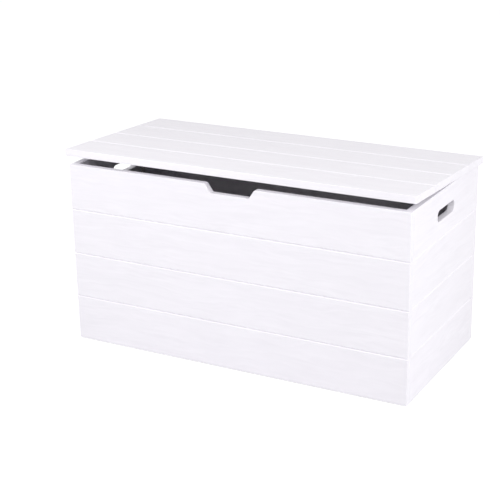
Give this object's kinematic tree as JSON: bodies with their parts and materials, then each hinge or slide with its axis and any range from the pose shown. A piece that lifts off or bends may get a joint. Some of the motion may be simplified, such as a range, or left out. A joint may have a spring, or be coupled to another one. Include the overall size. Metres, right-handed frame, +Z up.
{
  "type": "storage chest",
  "caption": "White painted plank storage chest with a hinged lid on curved stays, a finger notch in front and a hand slot in each side.",
  "frame": {"origin": "on the floor under the middle of the walls", "axes": "+X to the viewer's right along the front, +Y from front to back, +Z up; the lid stands ajar by 2.6 degrees"},
  "size_m": [0.922, 0.4423, 0.5006],
  "materials": {
    "painted_board": "white satin paint over fine grain",
    "painted_frame": "white satin paint over sawn grain",
    "painted_panel": "white matt paint on plywood",
    "hinge_steel": "zinc plated, satin",
    "stay_steel": "nickel plated, satin",
    "screw_steel": "zinc plated",
    "glide_plastic": "moulded, matt"
  },
  "bodies": {
    "chest": {"back_board_1": "painted_board", "back_board_2": "painted_board", "back_board_3": "painted_board", "back_board_4": "painted_board", "cleat_screws": "screw_steel", "corner_post_back_left": "painted_frame", "corner_post_back_right": "painted_frame", "corner_post_front_left": "painted_frame", "corner_post_front_right": "painted_frame", "floor_cleat_back": "painted_frame", "floor_cleat_front": "painted_frame", "floor_cleat_left": "painted_frame", "floor_cleat_right": "painted_frame", "floor_glides": "glide_plastic", "floor_panel": "painted_panel", "floor_screws": "screw_steel", "front_board_1": "painted_board", "front_board_2": "painted_board", "front_board_3": "painted_board", "front_board_4": "painted_board", "hinge_left_pin": "hinge_steel", "hinge_left_wall_leaf": "hinge_steel", "hinge_right_pin": "hinge_steel", "hinge_right_wall_leaf": "hinge_steel", "hinge_wall_screws": "screw_steel", "left_board_1": "painted_board", "left_board_2": "painted_board", "left_board_3": "painted_board", "left_board_4": "painted_board", "post_screws": "screw_steel", "right_board_1": "painted_board", "right_board_2": "painted_board", "right_board_3": "painted_board", "right_board_4": "painted_board", "stay_left_cap_nut": "stay_steel", "stay_left_stud_plate": "stay_steel", "stay_left_washer": "stay_steel", "stay_right_cap_nut": "stay_steel", "stay_right_stud_plate": "stay_steel", "stay_right_washer": "stay_steel", "stay_wall_screws": "screw_steel"},
    "lid": {"batten_screws": "screw_steel", "hinge_left_lid_leaf": "hinge_steel", "hinge_lid_screws": "screw_steel", "hinge_right_lid_leaf": "hinge_steel", "lid_batten_left": "painted_frame", "lid_batten_middle": "painted_frame", "lid_batten_right": "painted_frame", "lid_board_1": "painted_board", "lid_board_2": "painted_board", "lid_board_3": "painted_board", "lid_board_4": "painted_board", "stay_left_lid_bracket": "stay_steel", "stay_left_rivet": "stay_steel", "stay_lid_screws": "screw_steel", "stay_right_lid_bracket": "stay_steel", "stay_right_rivet": "stay_steel"},
    "stay_left": {"stay_left_arm": "stay_steel"},
    "stay_right": {"stay_right_arm": "stay_steel"}
  },
  "joints": [
    {"name": "lid_hinge", "type": "hinge", "parent": "chest", "child": "lid", "pos_m": [0, 0.2213, 0.46265], "axis": [-1, 0, 0], "range_deg": [-2.6, 92.4]},
    {"name": "stay_left_pivot", "type": "hinge", "parent": "lid", "child": "stay_left", "pos_m": [-0.4265, 0.07172, 0.45157], "axis": [-1, 0, 0], "range_deg": [-92.4, 2.6]},
    {"name": "stay_right_pivot", "type": "hinge", "parent": "lid", "child": "stay_right", "pos_m": [0.4265, 0.07172, 0.45157], "axis": [-1, 0, 0], "range_deg": [-92.4, 2.6]}
  ],
  "couplings": [
    {"joint": "stay_left_pivot", "follows": "lid_hinge", "ratio": -1},
    {"joint": "stay_right_pivot", "follows": "lid_hinge", "ratio": -1}
  ]
}
